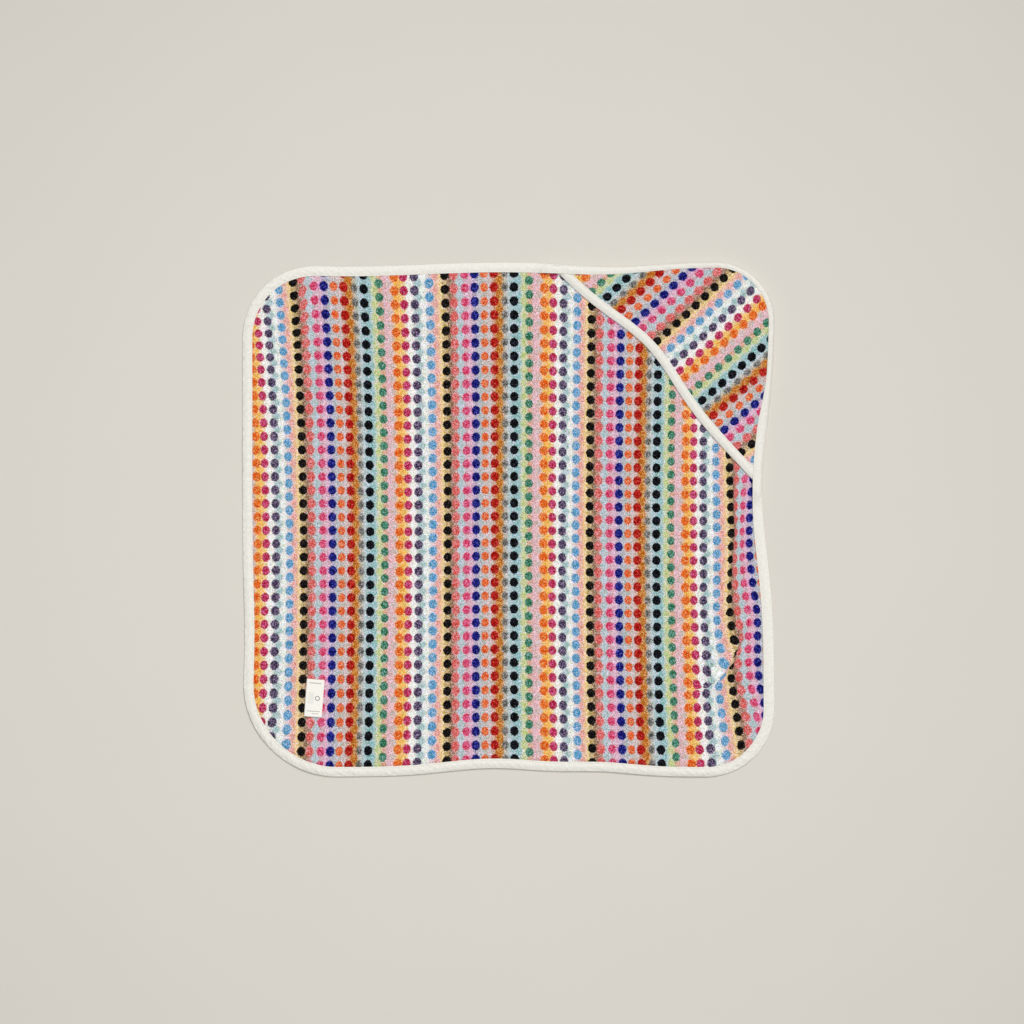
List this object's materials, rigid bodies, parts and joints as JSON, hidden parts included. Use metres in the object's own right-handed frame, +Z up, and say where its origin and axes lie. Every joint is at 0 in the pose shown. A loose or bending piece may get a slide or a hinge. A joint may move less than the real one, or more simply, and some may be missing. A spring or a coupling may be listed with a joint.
{
  "type": "hooded baby towel",
  "caption": "Square terry bath towel for a baby, laid flat, with a triangular hood sewn into one corner, a folded tape round every edge and a sewn-on care label.",
  "frame": {"origin": "centre of the towel's bounding rectangle, on the surface that it lies on", "axes": "+Z up out of the surface, +X and +Y along the towel's sides, with the hood in the +X +Y corner and the care label near the -X -Y corner"},
  "size_m": [0.75, 0.7256, 0.0088],
  "materials": {
    "terry": "looped cotton pile, woven in a repeat of dotted stripes in many colours",
    "binding_cotton": "matt bias-cut woven cotton, warm off-white",
    "label_satin": "thin printed satin ribbon",
    "thread": "twisted polyester sewing thread"
  },
  "bodies": {
    "towel": {"body_panel": "terry", "edge_binding": "binding_cotton", "edge_stitch_front": "thread", "edge_stitch_back": "thread", "label_stitch": "thread"},
    "hood": {"hood_panel": "terry", "hood_binding": "binding_cotton", "hood_stitch_front": "thread", "hood_stitch_back": "thread"},
    "label": {"care_label": "label_satin"}
  },
  "joints": [
    {"name": "hood_open", "type": "hinge", "parent": "towel", "child": "hood", "pos_m": [0.34832, 0.33654, 0.0041], "axis": [-0.6865, 0.7271, 0], "range_deg": [0, 15], "deforming": ["hood_panel", "hood_binding", "hood_stitch_front", "hood_stitch_back"]},
    {"name": "label_flip", "type": "hinge", "parent": "towel", "child": "label", "pos_m": [-0.27151, -0.22528, 0.0041], "axis": [-0.9972, 0.075, 0], "range_deg": [0, 110]}
  ]
}
